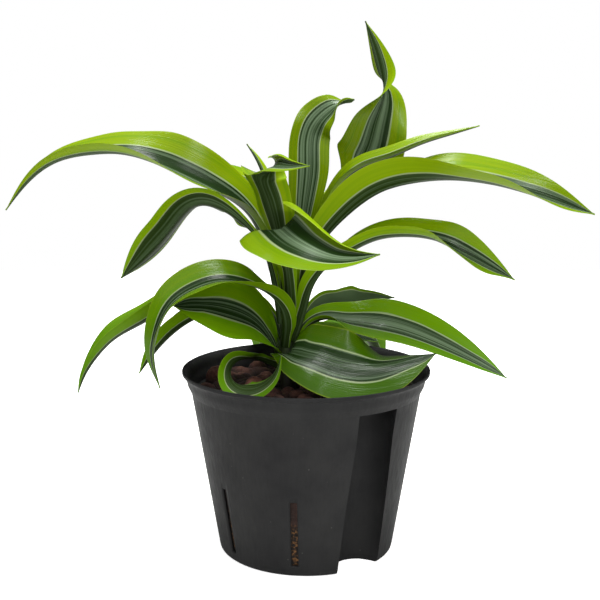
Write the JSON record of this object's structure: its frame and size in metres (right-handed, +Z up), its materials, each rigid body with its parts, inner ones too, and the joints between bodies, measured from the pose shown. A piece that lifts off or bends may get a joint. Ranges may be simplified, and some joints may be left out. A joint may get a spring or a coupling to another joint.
{
  "type": "potted dracaena plant",
  "caption": "Bushy variegated dracaena with arching lance-shaped leaves, on a short cane in a slotted hydroculture pot filled with clay pebbles.",
  "frame": {"origin": "centre of the pot's flat base, on the surface it stands on", "axes": "+Z up; the front of the plant, as pictured, faces -Y and +X is to the right of it"},
  "size_m": [0.2542, 0.1471, 0.2327],
  "materials": {
    "culture_pot": "moulded polypropylene, fine matt with a slight sheen",
    "clay_pebbles": null,
    "stem": "smooth green young cane",
    "leaves": "leathery leaf with a waxy gloss, dark green middle, pale grey lines and lime margins"
  },
  "bodies": {
    "root": {"pot": "culture_pot", "clay_pebbles": "clay_pebbles", "clay_pebbles_below": "clay_pebbles", "stem": "stem", "leaf_long_left": "leaves", "leaf_long_right": "leaves", "leaf_slim_upper_right": "leaves", "leaf_tall_twisted": "leaves", "leaf_upright_curled": "leaves", "leaf_folded_upper_left": "leaves", "leaf_front_crossing": "leaves", "leaf_mid_right": "leaves", "leaf_low_right": "leaves", "leaf_low_front_wavy": "leaves", "leaf_ringed_low_left": "leaves", "leaf_low_far_left": "leaves", "leaf_arched_low_left": "leaves", "leaf_behind_arch_left": "leaves", "leaf_broad_low_left": "leaves", "leaf_small_back_right": "leaves", "leaf_small_low_back_right": "leaves", "leaf_drooping_left": "leaves", "leaf_young_spear": "leaves", "leaf_back_low_left": "leaves", "leaf_back_low_right": "leaves", "leaf_back_high_right": "leaves", "leaf_back_high_left": "leaves"}
  },
  "joints": []
}
